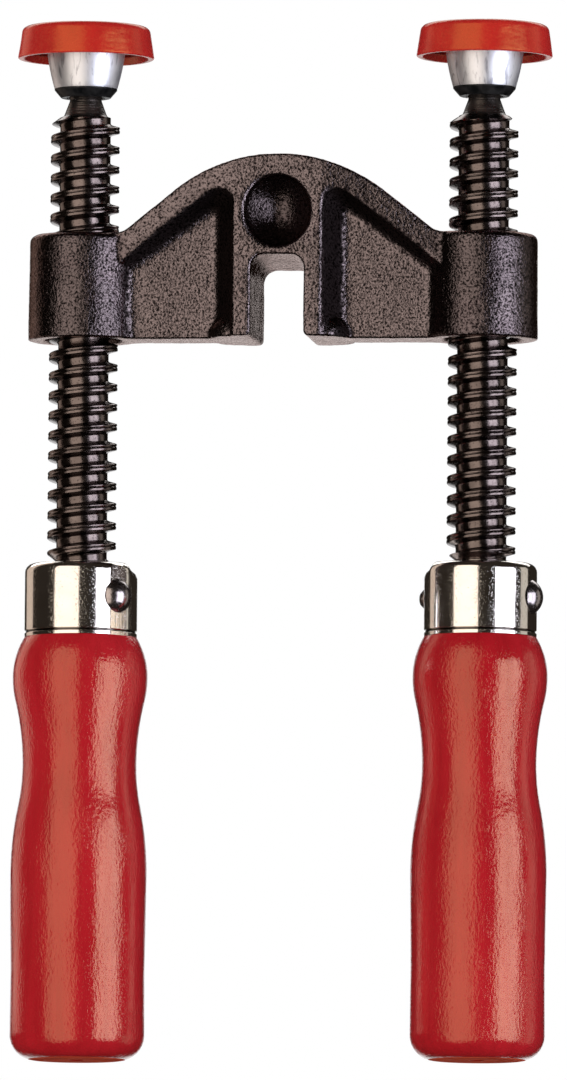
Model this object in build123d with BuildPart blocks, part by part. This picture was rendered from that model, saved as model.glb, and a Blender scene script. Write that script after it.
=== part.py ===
# Two-spindle edge clamp for a clamp bar, in millimetres.
# It stands on its handle ends: +Z up, the spindles left (-X) and right (+X), the front towards -Y.
# The origin is under the middle of the yoke, at the height of the handle ends.

import os
from math import atan2, cos, radians, sin, sqrt, tan

from build123d import *

os.makedirs("parts", exist_ok=True)

# Layout
spindle_spacing = 80.8
free_thread_length = 45.1  # between ferrule and yoke, as far as the spindles are screwed in this pose
left_pin_azimuth = 50  # degrees from the front towards +X, where the rivet's round head points
right_pin_azimuth = 77

# Fits
running_clearance = 0.08  # spindle in its bore, ball in its socket
seat_clearance = 0.05  # between pieces that are driven or riveted together
overrun = 0.5  # how far a cut runs past the face it opens

# Handle, a turned piece with a slim waist
handle_length = 85.0
handle_bulge_radius = 13.55
handle_bulge_below_top = 8.0
handle_waist_radius = 11.45
handle_waist_below_bulge = 17.5
handle_grip_radius = 13.7
handle_grip_below_waist = 22.0
handle_slim_radius = 13.45
handle_slim_height = 18.0
handle_end_radius = 13.55
handle_end_round = 5.0
tenon_bevel = 0.9
bulge_curve_share = 0.28  # where each S of the outline turns over, as a share of its length
grip_curve_share = 0.38
tang_radius = 4.4
tang_length = 50.0
tang_point_length = 6.0
tang_point_depth = 2.4

# Ferrule, a drawn cup over the handle's tenon
ferrule_radius = 11.35
ferrule_height = 14.8
ferrule_wall = 0.8
ferrule_top_thickness = 0.9
ferrule_shoulder_round = 1.7
ferrule_bead_height = 1.0
ferrule_bead_depth = 0.15
ferrule_flat_depth = 0.25
collar_height = 0.5
collar_width = 0.8

# Cross rivet
pin_radius = 2.0
pin_below_ferrule_top = 6.9
pin_head_radius = 3.25
pin_head_height = 1.5
pin_peen_radius = 2.7
pin_peen_tip_radius = 1.2
pin_peen_height = 1.45
pin_peen_round = 0.4

# Spindle
thread_radius = 6.95
thread_root_radius = 5.1
thread_length = 89.8
thread_end_bevel = 1.2
neck_radius = 3.2
neck_cone_length = 3.6
ball_radius = 4.6

# Pressure plate with its ball socket
hub_grip = 2.9  # how far the crimped lip reaches below the ball's middle
hub_height = 9.8
hub_mouth_radius = 3.85
hub_lip_radius = 4.9
hub_crease_radius = 6.0
hub_crease_height = 1.8
hub_middle_radius = 7.05
hub_top_radius = 7.9
plate_radius = 11.9
plate_thickness = 2.1
plate_edge_bevel = 0.5

# Plastic cap
cap_top_thickness = 2.5
cap_rim_radius = 13.75
cap_top_radius = 13.1
cap_wall = 1.2
cap_skirt_length = 4.0
cap_edge_round = 1.8
cap_snap_depth = 0.35
cap_snap_drop = 0.6  # between the plate's underside and the snap bead's crest
cap_rim_bevel = 0.3

# Yoke, a cast I-section
boss_height = 21.3
boss_top_radius = 10.95
boss_foot_radius = 11.15
boss_top_round = 1.5
bore_countersink_radius = 8.1
bore_countersink_depth = 1.1
arch_crown_reach = 11.88  # from the middle to where the slopes' lines reach the crown's height
arch_foot_setback = 8.7  # from the spindle's axis to the foot of the slope
arch_foot_blend = 4.0
post_width = 17.7
post_depth = 22.0
shoulder_depth = 16.0
web_thickness = 10.5
rim_thickness = 3.0
pocket_wall_share = 0.652  # these are shares of the pocket's depth
pocket_roof_drop_share_at_post = 0.478
pocket_roof_drop_share_at_boss = 0.974
pocket_mouth_corner_share = 0.52
pocket_floor_corner_share = 0.26
pocket_floor_round_share = 0.435
lobe_share = 0.904
slot_front_width = 10.8
slot_back_width = 10.2
slot_front_depth = 16.6
slot_back_depth = 15.15
slot_corner_round = 2.8
slot_mouth_round = 1.0
recess_width = 13.2
recess_height = 14.2
recess_above_slot = 1.6
recess_below_crown = 4.4
recess_depth = 5.75
recess_floor_round = 4.0
recess_mouth_round = 0.8

# Heights that follow from the sizes above
handle_bulge_height = handle_length - handle_bulge_below_top
handle_waist_height = handle_bulge_height - handle_waist_below_bulge
handle_grip_height = handle_waist_height - handle_grip_below_waist
ferrule_top = handle_length + ferrule_height
yoke_base_height = ferrule_top + free_thread_length
pin_height = ferrule_top - pin_below_ferrule_top
thread_start = ferrule_top + collar_height
thread_end = thread_start + thread_length
neck_top = thread_end + neck_cone_length
ball_height = neck_top + sqrt(ball_radius**2 - neck_radius**2)
hub_base = ball_height - hub_grip
plate_base = hub_base + hub_height
plate_top = plate_base + plate_thickness
cap_top = plate_top + cap_top_thickness
cap_rim = plate_base + plate_thickness - cap_skirt_length
axis_x = spindle_spacing / 2
bore_radius = thread_radius + running_clearance
boss_top = yoke_base_height + boss_height
post_half = post_width / 2
web_half = web_thickness / 2
pocket_depth = post_depth / 2 - web_half
lobe_radius = pocket_depth * lobe_share
recess_middle_height = slot_front_depth + recess_above_slot + recess_height / 2
arch_height = recess_middle_height + recess_height / 2 + recess_below_crown


def front_plane(depth):
    """The plane this far before the yoke's middle, parallel to its front, with zero height at its base."""
    return Plane(origin=(0, -depth, yoke_base_height), x_dir=(1, 0, 0), z_dir=(0, -1, 0))


def turning_plane(x):
    """The upright plane through a spindle's axis that the half section of a turned piece is drawn on."""
    return Plane(origin=(x, 0, 0), x_dir=(1, 0, 0), z_dir=(0, -1, 0))


def turning_axis(x):
    """The upright axis of a spindle."""
    return Axis((x, 0, 0), (0, 0, 1))


def pin_direction(azimuth):
    """The level direction of a rivet's round head, turned this far from the front towards +X."""
    return Vector(sin(radians(azimuth)), -cos(radians(azimuth)), 0)


def pin_plane(x, azimuth, reach):
    """The plane square to a rivet, this far from the spindle's axis along the rivet."""
    direction = pin_direction(azimuth)
    return Plane(origin=Vector(x, 0, pin_height) + direction * reach, z_dir=direction)


def finish(piece, name):
    """Label a finished piece and write its file."""
    piece.part.label = name
    export_step(piece.part, f"parts/{name}.step")


# Outline of the yoke's front: a crown arc that runs on in straight slopes to the bosses
arch_foot_x = axis_x - arch_foot_setback
slope = atan2(arch_height - boss_height, arch_foot_x - arch_crown_reach)
arch_crown_radius = arch_crown_reach / tan(slope / 2)
crown_end_x = arch_crown_radius * sin(slope)
crown_end_y = arch_height - arch_crown_radius + arch_crown_radius * cos(slope)

# Pocket roofs: the mouth's roof keeps the rim's thickness under the arch, the floor's roof hangs lower
arch_at_post = arch_height - arch_crown_radius + sqrt(arch_crown_radius**2 - post_half**2)
mouth_roof_at_post = arch_at_post - rim_thickness
mouth_fall = (arch_at_post - boss_height) / (arch_foot_x - post_half)
mouth_end_x = axis_x - neck_radius
floor_start_x = post_half + pocket_depth * pocket_wall_share
floor_end_x = axis_x - sqrt(boss_top_radius**2 - web_half**2) + overrun


def mouth_roof(x):
    """Height of the roof's edge in a pocket's mouth."""
    return mouth_roof_at_post - mouth_fall * (x - post_half)


def pocket_section(depth, start, end, start_height, end_height, corner):
    """One section of a pocket, open at the yoke's base."""
    with BuildSketch(front_plane(depth)) as section:
        with BuildLine():
            Polyline(
                (start, -overrun),
                (start, start_height),
                (end, end_height),
                (end, -overrun),
                close=True,
            )
        make_face()
        fillet(section.vertices().group_by(Axis.Y)[-1], radius=corner)
    return section.sketch


# The hollow of one pocket between web, roof, post and boss, repeated in the four quarters
with BuildPart() as pockets:
    floor_section = pocket_section(
        web_half,
        floor_start_x,
        floor_end_x,
        mouth_roof(floor_start_x) - pocket_depth * pocket_roof_drop_share_at_post,
        mouth_roof(floor_end_x) - pocket_depth * pocket_roof_drop_share_at_boss,
        pocket_depth * pocket_floor_corner_share,
    )
    mouth_section = pocket_section(
        post_depth / 2,
        post_half,
        mouth_end_x,
        mouth_roof_at_post,
        mouth_roof(mouth_end_x),
        pocket_depth * pocket_mouth_corner_share,
    )
    loft([floor_section, mouth_section])
    mirror(about=Plane.YZ)
    mirror(about=Plane.XZ)

# The rail slot, drafted from the front face to the back
slot_end = post_depth / 2 + overrun
with BuildPart() as slot:
    with BuildSketch(Plane.XY.offset(yoke_base_height - overrun)):
        with BuildLine():
            Polyline(
                (-slot_front_width / 2, -slot_end),
                (slot_front_width / 2, -slot_end),
                (slot_back_width / 2, slot_end),
                (-slot_back_width / 2, slot_end),
                close=True,
            )
        make_face()
    extrude(amount=arch_height)
    # The ceiling slopes down to the back
    with BuildSketch(Plane.YZ.offset(-slot_front_width)):
        with BuildLine():
            Polyline(
                (-slot_end, yoke_base_height - overrun),
                (-slot_end, yoke_base_height + slot_front_depth),
                (slot_end, yoke_base_height + slot_back_depth),
                (slot_end, yoke_base_height - overrun),
                close=True,
            )
        make_face()
    extrude(amount=2 * slot_front_width, mode=Mode.INTERSECT)
    ceiling = slot.faces().sort_by(Axis.Z)[-1]
    fillet(ceiling.edges().sort_by(SortBy.LENGTH)[-2:], radius=slot_corner_round)

# The rounded lobes in the corners between the post's sides and the web, at the yoke's base
with BuildPart() as lobes:
    corner = (post_half, -web_half, yoke_base_height)
    with BuildSketch(Plane(origin=corner, x_dir=(0, 1, 0), z_dir=(1, 0, 0))):
        with BuildLine():
            Line((0, 0), (lobe_radius, 0))
            CenterArc((0, 0), lobe_radius, 0, 90)
            Line((0, lobe_radius), (0, 0))
        make_face()
    revolve(axis=Axis(corner, (0, 0, 1)))
    mirror(about=Plane.YZ)
    mirror(about=Plane.XZ)

with BuildPart() as yoke:
    with BuildSketch(front_plane(-post_depth / 2)) as arch_outline:
        with BuildLine():
            ThreePointArc((-crown_end_x, crown_end_y), (0, arch_height), (crown_end_x, crown_end_y))
            Polyline(
                (crown_end_x, crown_end_y),
                (arch_foot_x, boss_height),
                (axis_x, boss_height),
                (axis_x, 0),
                (-axis_x, 0),
                (-axis_x, boss_height),
                (-arch_foot_x, boss_height),
                (-crown_end_x, crown_end_y),
            )
        make_face()
        slope_feet = arch_outline.vertices().group_by(Axis.Y)[1].sort_by(Axis.X)[1:3]
        fillet(slope_feet, radius=arch_foot_blend)
    extrude(amount=post_depth)
    # Seen from above the rim is deepest at the post and slimmer at the bosses
    with BuildSketch(Plane.XY.offset(yoke_base_height)):
        with BuildLine():
            Polyline(
                (0, post_depth / 2),
                (post_half, post_depth / 2),
                (arch_foot_x, shoulder_depth / 2),
                (axis_x, shoulder_depth / 2),
                (axis_x, 0),
            )
            mirror(about=Plane.XZ)
            mirror(about=Plane.YZ)
        make_face()
    extrude(amount=arch_height, mode=Mode.INTERSECT)
    add(pockets.part, mode=Mode.SUBTRACT)
    for x in (-axis_x, axis_x):
        with BuildSketch(turning_plane(x)) as boss_half:
            with BuildLine():
                Polyline(
                    (0, yoke_base_height),
                    (boss_foot_radius, yoke_base_height),
                    (boss_top_radius, boss_top),
                    (0, boss_top),
                    close=True,
                )
            make_face()
            fillet(boss_half.vertices().group_by(Axis.X)[-2], radius=boss_top_round)
        revolve(axis=turning_axis(x))
    # Rounds all along the pocket floors, except at the open base
    upright_faces = yoke.faces().filter_by(Plane.XZ)
    web_faces = upright_faces.filter_by_position(Axis.Y, -web_half - overrun, web_half + overrun)
    floor_edges = [edge for face in web_faces for edge in face.edges().sort_by(Axis.Z)[1:]]
    fillet(floor_edges, radius=pocket_depth * pocket_floor_round_share)
    add(lobes.part)
    # Round recesses in both faces of the post
    for depth, way in ((post_depth / 2, -1), (-post_depth / 2, 1)):
        with BuildSketch(front_plane(depth)):
            with Locations((0, recess_middle_height)):
                Ellipse(recess_width / 2, recess_height / 2)
        extrude(amount=way * recess_depth, mode=Mode.SUBTRACT)
        middle_edges = yoke.edges().filter_by_position(Axis.X, -overrun, overrun)
        recess_edges = middle_edges.filter_by(GeomType.ELLIPSE).sort_by(Axis((0, 0, 0), (0, way, 0)))
        fillet(recess_edges[-1], radius=recess_mouth_round)
        fillet(recess_edges[-2], radius=recess_floor_round)
    add(slot.part, mode=Mode.SUBTRACT)
    base_edges = yoke.edges().group_by(Axis.Z)[0]
    slot_mouth_edges = base_edges.filter_by_position(Axis.X, -slot_front_width / 2, slot_front_width / 2)
    fillet(slot_mouth_edges, radius=slot_mouth_round)
    for x in (-axis_x, axis_x):
        with BuildSketch(turning_plane(x)):
            with BuildLine():
                Polyline(
                    (0, yoke_base_height),
                    (bore_countersink_radius, yoke_base_height),
                    (bore_radius, yoke_base_height + bore_countersink_depth),
                    (bore_radius, boss_top - bore_countersink_depth),
                    (bore_countersink_radius, boss_top),
                    (0, boss_top),
                    close=True,
                )
            make_face()
        revolve(axis=turning_axis(x), mode=Mode.SUBTRACT)
finish(yoke, "yoke")


def make_handle(side, x, azimuth):
    """The turned wooden handle, with its tenon up in the ferrule and its bore for the tang."""
    tenon_radius = ferrule_radius - ferrule_wall - seat_clearance
    tenon_top = ferrule_top - ferrule_top_thickness - seat_clearance
    bore = tang_radius + seat_clearance
    bore_bottom = ferrule_top - tang_length - seat_clearance
    end_centre = (handle_end_radius - handle_end_round, handle_end_round)
    grip = Vector(handle_grip_radius, handle_grip_height)
    waist = Vector(handle_waist_radius, handle_waist_height)
    bulge = Vector(handle_bulge_radius, handle_bulge_height)
    waist_to_grip = waist + (grip - waist) * grip_curve_share
    bulge_to_waist = bulge + (waist - bulge) * bulge_curve_share
    with BuildPart() as handle:
        with BuildSketch(turning_plane(x)) as half:
            with BuildLine():
                Line((0, 0), (end_centre[0], 0))
                CenterArc(end_centre, handle_end_round, -90, 90)
                Polyline(
                    (handle_end_radius, handle_end_round),
                    (handle_slim_radius, handle_slim_height),
                    grip,
                )
                grip_arc = TangentArc(grip, waist_to_grip, tangent=(0, 1))
                TangentArc(waist_to_grip, waist, tangent=grip_arc % 1)
                waist_arc = TangentArc(waist, bulge_to_waist, tangent=(0, 1))
                TangentArc(bulge_to_waist, bulge, tangent=waist_arc % 1)
                TangentArc(bulge, (ferrule_radius, handle_length), tangent=(0, 1))
                Polyline(
                    (ferrule_radius, handle_length),
                    (tenon_radius, handle_length),
                    (tenon_radius, tenon_top),
                    (bore, tenon_top),
                    (bore, bore_bottom),
                    (0, bore_bottom),
                    (0, 0),
                )
            make_face()
            chamfer(half.vertices().group_by(Axis.Y)[-1].sort_by(Axis.X)[-1], length=tenon_bevel)
        revolve(axis=turning_axis(x))
        with BuildSketch(pin_plane(x, azimuth, -ferrule_radius)):
            Circle(pin_radius + seat_clearance)
        extrude(amount=2 * ferrule_radius, mode=Mode.SUBTRACT)
    finish(handle, f"handle_{side}")


def make_ferrule(side, x, azimuth):
    """The drawn cup over the tenon, with a foot bead, a collar and a flat at each end of the rivet."""
    hole = tang_radius + seat_clearance
    inner = ferrule_radius - ferrule_wall
    with BuildPart() as ferrule:
        with BuildSketch(turning_plane(x)) as half:
            with BuildLine():
                Polyline(
                    (inner, handle_length),
                    (ferrule_radius, handle_length),
                    (ferrule_radius, handle_length + ferrule_bead_height - ferrule_bead_depth),
                    (ferrule_radius - ferrule_bead_depth, handle_length + ferrule_bead_height),
                    (ferrule_radius, handle_length + ferrule_bead_height + ferrule_bead_depth),
                    (ferrule_radius, ferrule_top),
                    (hole + collar_width, ferrule_top),
                    (hole + collar_width, ferrule_top + collar_height),
                    (hole, ferrule_top + collar_height),
                    (hole, ferrule_top - ferrule_top_thickness),
                    (inner, ferrule_top - ferrule_top_thickness),
                    close=True,
                )
            make_face()
            top_corners = half.vertices().group_by(Axis.Y)
            fillet(top_corners[-2].sort_by(Axis.X)[-1], radius=ferrule_shoulder_round)
            fillet(top_corners[-3].sort_by(Axis.X)[-1], radius=ferrule_shoulder_round - ferrule_wall)
        revolve(axis=turning_axis(x))
        for way in (0, 180):
            with BuildSketch(pin_plane(x, azimuth + way, ferrule_radius - ferrule_flat_depth)):
                Circle(ferrule_height)
            extrude(amount=overrun, mode=Mode.SUBTRACT)
        with BuildSketch(pin_plane(x, azimuth, -ferrule_radius)):
            Circle(pin_radius + seat_clearance)
        extrude(amount=2 * ferrule_radius, mode=Mode.SUBTRACT)
    finish(ferrule, f"ferrule_{side}")


def make_pin(side, x, azimuth):
    """The cross rivet: a round head in front, a peened end behind, both on the ferrule's flats."""
    direction = pin_direction(azimuth)
    middle = Vector(x, 0, pin_height)
    seat = ferrule_radius - ferrule_flat_depth + seat_clearance
    with BuildPart() as pin:
        across = direction.cross(Vector(0, 0, 1))
        with BuildSketch(Plane(origin=middle, x_dir=direction, z_dir=across)) as half:
            with BuildLine():
                Polyline(
                    (seat + pin_head_height, 0),
                    (-seat - pin_peen_height, 0),
                    (-seat - pin_peen_height, pin_peen_tip_radius),
                    (-seat, pin_peen_radius),
                    (-seat, pin_radius),
                    (seat, pin_radius),
                    (seat, pin_head_radius),
                )
                TangentArc((seat + pin_head_height, 0), (seat, pin_head_radius), tangent=(0, 1))
            make_face()
            fillet(half.vertices().group_by(Axis.X)[0].sort_by(Axis.Y)[-1], radius=pin_peen_round)
        revolve(axis=Axis(middle, direction))
    finish(pin, f"handle_pin_{side}")


def make_spindle(side, x, azimuth):
    """The spindle, from its pointed tang in the handle to the ball in the pressure plate."""
    tang_bottom = ferrule_top - tang_length
    shank_start = thread_start + seat_clearance
    ball_top = (0, ball_height + ball_radius)
    with BuildPart() as spindle:
        with BuildSketch(turning_plane(x)):
            with BuildLine():
                Polyline(
                    ball_top,
                    (0, tang_bottom),
                    (tang_radius - tang_point_depth, tang_bottom),
                    (tang_radius, tang_bottom + tang_point_length),
                    (tang_radius, shank_start),
                    (thread_root_radius, shank_start),
                    (thread_radius, shank_start + thread_end_bevel),
                    (thread_radius, thread_end - thread_end_bevel),
                    (thread_root_radius, thread_end),
                )
                TangentArc((neck_radius, neck_top), (thread_root_radius, thread_end), tangent=(0, -1))
                ThreePointArc((neck_radius, neck_top), (ball_radius, ball_height), ball_top)
            make_face()
        revolve(axis=turning_axis(x))
        with BuildSketch(pin_plane(x, azimuth, -ferrule_radius)):
            Circle(pin_radius + seat_clearance)
        extrude(amount=2 * ferrule_radius, mode=Mode.SUBTRACT)
    finish(spindle, f"spindle_{side}")


def make_pressure_plate(side, x):
    """The turned plate whose hub is crimped round the spindle's ball."""
    socket = ball_radius + running_clearance
    socket_top = (0, ball_height + socket)
    socket_mouth = (hub_mouth_radius, ball_height - sqrt(socket**2 - hub_mouth_radius**2))
    crease = (hub_crease_radius, hub_base + hub_crease_height)
    shoulder = (hub_top_radius, plate_base)
    with BuildPart() as plate:
        with BuildSketch(turning_plane(x)) as half:
            with BuildLine():
                Polyline(
                    socket_mouth,
                    (hub_mouth_radius, hub_base),
                    (hub_lip_radius, hub_base),
                    crease,
                )
                ThreePointArc(
                    crease,
                    (hub_middle_radius, (hub_base + hub_crease_height + plate_base) / 2),
                    shoulder,
                )
                Polyline(
                    shoulder,
                    (plate_radius, plate_base),
                    (plate_radius, plate_top),
                    (0, plate_top),
                    socket_top,
                )
                ThreePointArc(socket_top, (socket, ball_height), socket_mouth)
            make_face()
            chamfer(half.vertices().group_by(Axis.X)[-1], length=plate_edge_bevel)
        revolve(axis=turning_axis(x))
    finish(plate, f"pressure_plate_{side}")


def make_pad_cap(side, x):
    """The plastic cap that snaps over the pressure plate, with an open skirt below it."""
    with BuildPart() as cap:
        with BuildSketch(turning_plane(x)) as half:
            with BuildLine():
                Polyline(
                    (0, cap_top),
                    (cap_top_radius, cap_top),
                    (cap_rim_radius, cap_rim),
                    (cap_rim_radius - cap_wall, cap_rim),
                    (plate_radius - cap_snap_depth, plate_base - cap_snap_drop),
                    (plate_radius + seat_clearance, plate_base - seat_clearance),
                    (plate_radius + seat_clearance, plate_top + seat_clearance),
                    (0, plate_top + seat_clearance),
                    close=True,
                )
            make_face()
            fillet(half.vertices().group_by(Axis.Y)[-1].sort_by(Axis.X)[-1], radius=cap_edge_round)
            chamfer(half.vertices().group_by(Axis.Y)[0], length=cap_rim_bevel)
        revolve(axis=turning_axis(x))
    finish(cap, f"pad_cap_{side}")


for side, x, azimuth in (
    ("left", -axis_x, left_pin_azimuth),
    ("right", axis_x, right_pin_azimuth),
):
    make_handle(side, x, azimuth)
    make_ferrule(side, x, azimuth)
    make_pin(side, x, azimuth)
    make_spindle(side, x, azimuth)
    make_pressure_plate(side, x)
    make_pad_cap(side, x)
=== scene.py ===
from math import acos, atan2, cos, hypot, pi, radians, sin, sqrt, tan

import bmesh
import bpy
import numpy
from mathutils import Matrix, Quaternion, Vector, noise


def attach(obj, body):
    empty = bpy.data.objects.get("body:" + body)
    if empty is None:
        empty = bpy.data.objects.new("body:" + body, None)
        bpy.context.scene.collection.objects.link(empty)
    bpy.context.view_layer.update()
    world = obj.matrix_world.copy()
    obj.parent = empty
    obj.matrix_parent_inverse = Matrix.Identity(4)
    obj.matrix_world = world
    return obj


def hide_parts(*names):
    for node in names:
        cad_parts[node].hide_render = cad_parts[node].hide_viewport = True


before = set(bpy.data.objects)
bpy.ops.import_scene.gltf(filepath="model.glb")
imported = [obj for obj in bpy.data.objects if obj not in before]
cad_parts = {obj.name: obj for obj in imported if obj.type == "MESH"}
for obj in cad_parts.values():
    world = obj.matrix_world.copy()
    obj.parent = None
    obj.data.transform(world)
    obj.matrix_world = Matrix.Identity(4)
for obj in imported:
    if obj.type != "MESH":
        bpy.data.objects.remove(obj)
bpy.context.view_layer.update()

MM = 0.001

# Sizes repeated from the part's source, in mm; azimuths in degrees from the front towards +X
AXIS_X = 40.4
HANDLE_TOP = 85.0
TENON_RADIUS = 10.5
TENON_TOP = 98.85
TANG_BORE_RADIUS = 4.45
TANG_BORE_FOOT = 49.75
FERRULE_RADIUS = 11.35
FERRULE_TOP = 99.8
PIN_HEIGHT = 92.9
PIN_AZIMUTH = {"left": 50, "right": 77}
THREAD_START = 100.35
THREAD_END = 190.1
NECK_RADIUS = 3.2
NECK_TOP = 193.7
BALL_RADIUS = 4.6
BALL_HEIGHT = NECK_TOP + sqrt(BALL_RADIUS**2 - NECK_RADIUS**2)
HUB_BASE = BALL_HEIGHT - 2.9
HUB_MOUTH_RADIUS = 3.85
PLATE_RADIUS = 11.9
PLATE_BASE = HUB_BASE + 9.8
PLATE_TOP = PLATE_BASE + 2.1
CAP_TOP = PLATE_TOP + 2.5
CAP_RIM = PLATE_TOP - 4.0


# ---------------------------------------------------------------- mesh helpers

def link_object(name, data):
    obj = bpy.data.objects.new(name, data)
    bpy.context.scene.collection.objects.link(obj)
    return obj


def shaded_object(name, mesh, sharp):
    """An object with smooth shading, apart from edges sharper than this angle in degrees."""
    mesh.polygons.foreach_set("use_smooth", [True] * len(mesh.polygons))
    mesh.set_sharp_from_angle(angle=radians(sharp))
    return link_object(name, mesh)


def mesh_object(name, verts, faces, sharp=35):
    """A smooth-shaded mesh object in metres from points in mm."""
    mesh = bpy.data.meshes.new(name)
    mesh.from_pydata([tuple(c * MM for c in v) for v in verts], [], faces)
    mesh.validate()
    return shaded_object(name, mesh, sharp)


def smooth(value, start, end):
    """0 below start, 1 above end and a soft step between."""
    t = max(0.0, min(1.0, (value - start) / (end - start)))
    return t * t * (3 - 2 * t)


def rounded(corners, steps=5):
    """The points of a line through corners (r, z) or, where it turns in an arc, (r, z, radius)."""
    points = []
    for i, corner in enumerate(corners):
        if len(corner) == 2:
            points.append(tuple(corner))
            continue
        here = Vector(corner[:2])
        before = (Vector(corners[i - 1][:2]) - here).normalized()
        after = (Vector(corners[(i + 1) % len(corners)][:2]) - here).normalized()
        half = acos(max(-1, min(1, before.dot(after)))) / 2
        start = here + before * corner[2] / tan(half)
        end = here + after * corner[2] / tan(half)
        centre = here + (before + after).normalized() * corner[2] / sin(half)
        for k in range(steps + 1):
            spoke = (start - centre).lerp(end - centre, k / steps).normalized() * corner[2]
            points.append(tuple(centre + spoke))
    return points


def tangent_arc(start, end, heading, steps=12):
    """The points after start on an arc that leaves it at an angle, and the angle at its end."""
    chord = Vector(end) - Vector(start)
    bend = atan2(chord.y, chord.x) - heading
    radius = chord.length / (2 * sin(bend))
    points = []
    for k in range(1, steps + 1):
        part = bend * k / steps
        reach = 2 * radius * sin(part)
        angle = heading + part
        points.append((start[0] + reach * cos(angle), start[1] + reach * sin(angle)))
    return points, heading + 2 * bend


def spaced(points, gap):
    """The same line with extra points, so that no step is longer than gap."""
    result = [points[0]]
    for a, b in zip(points, points[1:]):
        count = max(1, int(hypot(b[0] - a[0], b[1] - a[1]) / gap + 0.999))
        for k in range(1, count + 1):
            result.append((a[0] + (b[0] - a[0]) * k / count, a[1] + (b[1] - a[1]) * k / count))
    return result


def lathe(outline, x, segments=128, closed=False):
    """Points and faces of a piece turned round the axis at x, from its half section (r, z)."""
    if closed:
        outline = list(outline) + [outline[0]]
    verts, faces, rings = [], [], []
    for i, (r, z) in enumerate(outline):
        if closed and i == len(outline) - 1:
            rings.append(rings[0])
        elif r < 1e-6:
            rings.append([len(verts)])
            verts.append((x, 0, z))
        else:
            rings.append(range(len(verts), len(verts) + segments))
            for k in range(segments):
                angle = 2 * pi * k / segments
                verts.append((x + r * cos(angle), r * sin(angle), z))
    for low, high in zip(rings, rings[1:]):
        for k in range(segments):
            n = k + 1
            face = [low[k % len(low)], low[n % len(low)], high[n % len(high)], high[k % len(high)]]
            face = list(dict.fromkeys(face))
            if len(face) > 2:
                faces.append(face)
    return verts, faces


def shifted(verts, x, scale, amount, seed):
    """Turned points moved out or in by smooth noise, as hand-finished surfaces are."""
    result = []
    for vx, vy, vz in verts:
        away = Vector((vx - x, vy, 0))
        if away.length > 1:
            wave = noise.noise(Vector((vx, vy, vz * 0.45 + seed)) / scale)
            away = away * (1 + amount * wave / away.length)
        result.append((x + away.x, away.y, vz))
    return result


# ---------------------------------------------------------------- materials

def empty_material(name):
    """A material without nodes but its output."""
    material = bpy.data.materials.new(name)
    material.use_nodes = True
    nodes, links = material.node_tree.nodes, material.node_tree.links
    nodes.clear()
    return material, nodes, links, nodes.new("ShaderNodeOutputMaterial")


def new_material(name):
    material, nodes, links, output = empty_material(name)
    shader = nodes.new("ShaderNodeBsdfPrincipled")
    links.new(shader.outputs[0], output.inputs[0])
    place = nodes.new("ShaderNodeTexCoord")
    return material, nodes, links, shader, place


def noise_node(nodes, links, place, scale, detail=4.0, stretch=(1, 1, 1), distortion=0.0):
    """A noise texture in the frame's own place; scale counts features per metre."""
    mapping = nodes.new("ShaderNodeMapping")
    mapping.inputs["Scale"].default_value = stretch
    links.new(place.outputs["Object"], mapping.inputs["Vector"])
    texture = nodes.new("ShaderNodeTexNoise")
    texture.inputs["Scale"].default_value = scale
    texture.inputs["Detail"].default_value = detail
    texture.inputs["Distortion"].default_value = distortion
    links.new(mapping.outputs[0], texture.inputs["Vector"])
    return texture.outputs["Fac"]


def ramp_node(nodes, links, source, start, start_colour, end, end_colour):
    """A colour that goes from one to another as the source goes from start to end."""
    ramp = nodes.new("ShaderNodeValToRGB")
    stops = ((start, start_colour), (end, end_colour))
    for element, (position, colour) in zip(ramp.color_ramp.elements, stops):
        element.position = position
        element.color = (*colour, 1)
    links.new(source, ramp.inputs[0])
    return ramp.outputs[0]


def range_node(nodes, links, source, low, high, start=0.3, end=0.7):
    """A number between low and high as the source goes from start to end."""
    mapper = nodes.new("ShaderNodeMapRange")
    for name, value in (("From Min", start), ("From Max", end), ("To Min", low), ("To Max", high)):
        mapper.inputs[name].default_value = value
    links.new(source, mapper.inputs["Value"])
    return mapper.outputs[0]


def multiply_node(nodes, links, first, second):
    """The product of two colours."""
    mixer = nodes.new("ShaderNodeMix")
    mixer.data_type = "RGBA"
    mixer.blend_type = "MULTIPLY"
    mixer.inputs[0].default_value = 1.0
    links.new(first, mixer.inputs[6])
    links.new(second, mixer.inputs[7])
    return mixer.outputs[2]


def bump_node(nodes, links, height, strength, distance, before=None):
    """A normal bumped by height; strength is a number or a socket."""
    bump = nodes.new("ShaderNodeBump")
    if isinstance(strength, bpy.types.NodeSocket):
        links.new(strength, bump.inputs["Strength"])
    else:
        bump.inputs["Strength"].default_value = strength
    bump.inputs["Distance"].default_value = distance
    links.new(height, bump.inputs["Height"])
    if before is not None:
        links.new(before, bump.inputs["Normal"])
    return bump.outputs[0]


def shaded_colour(nodes, links, colour):
    """The colour, darkened by painted shade where the mesh's "shade" attribute is 1, and that
    attribute.
    """
    shade = nodes.new("ShaderNodeAttribute")
    shade.attribute_name = "shade"
    # painted shade: the colour goes dark as the "shade" attribute rises
    painted_shade = ramp_node(nodes, links, shade.outputs["Fac"], 0.0, (1, 1, 1), 1.0, (0.13, 0.12, 0.12))
    return multiply_node(nodes, links, colour, painted_shade), shade.outputs["Fac"]


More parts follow.
